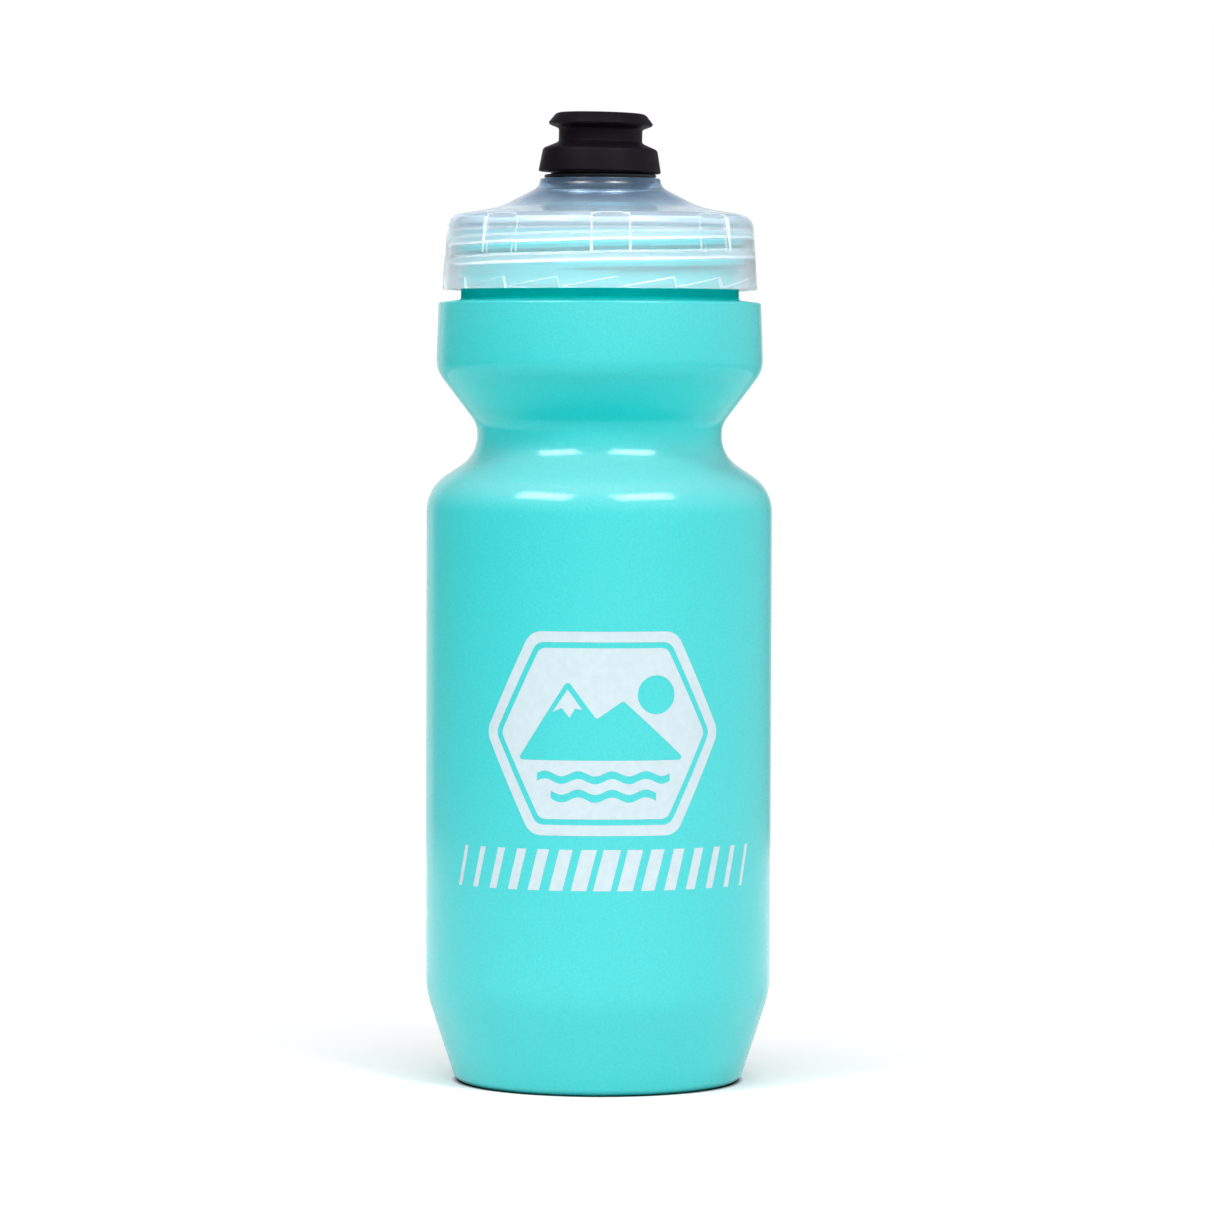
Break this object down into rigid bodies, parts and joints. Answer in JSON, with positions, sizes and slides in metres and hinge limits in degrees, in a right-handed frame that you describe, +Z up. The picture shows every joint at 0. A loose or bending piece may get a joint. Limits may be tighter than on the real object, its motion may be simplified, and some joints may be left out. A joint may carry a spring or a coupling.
{
  "type": "water bottle",
  "caption": "Cycling squeeze bottle with a grip waist, a translucent fluted screw cap and a black push-pull drinking valve.",
  "frame": {"origin": "centre of the ring that the bottle stands on, in the ground plane", "axes": "+Z up along the bottle's axis, towards the mouthpiece; -Y is the front"},
  "size_m": [0.073, 0.073, 0.2045],
  "materials": {
    "bottle_plastic": "soft low-density polyethylene, satin with a fine moulded grain, turquoise",
    "cap_plastic": "natural polypropylene, satin and translucent",
    "seal_rubber": "pale silicone, matt",
    "o_ring_rubber": "black rubber, greased",
    "valve_plastic": "hard black plastic, satin",
    "mouthpiece_rubber": "soft black thermoplastic rubber, matt"
  },
  "bodies": {
    "bottle": {"bottle_body": "bottle_plastic"},
    "seal": {"cap_gasket": "seal_rubber"},
    "cap": {"cap_shell": "cap_plastic"},
    "valve": {"valve_seat": "valve_plastic", "seat_o_ring": "o_ring_rubber"},
    "nozzle": {"nozzle_slider": "valve_plastic", "slider_o_ring": "o_ring_rubber", "mouthpiece": "mouthpiece_rubber"}
  },
  "joints": [
    {"name": "cap_lift", "type": "slide", "parent": "bottle", "child": "seal", "axis": [0, 0, 1], "range_m": [0, 0.01482]},
    {"name": "cap_turn", "type": "hinge", "parent": "seal", "child": "cap", "pos_m": [0, 0, 0.175], "axis": [0, 0, 1], "range_deg": [0, 1260]},
    {"name": "valve_swivel", "type": "hinge", "parent": "cap", "child": "valve", "pos_m": [0, 0, 0.1885], "axis": [0, 0, 1], "continuous": true},
    {"name": "nozzle_slide", "type": "slide", "parent": "valve", "child": "nozzle", "axis": [0, 0, 1], "range_m": [0, 0.006]}
  ],
  "couplings": [
    {"joint": "cap_lift", "follows": "cap_turn", "m_per_rad": 0.00067376}
  ]
}
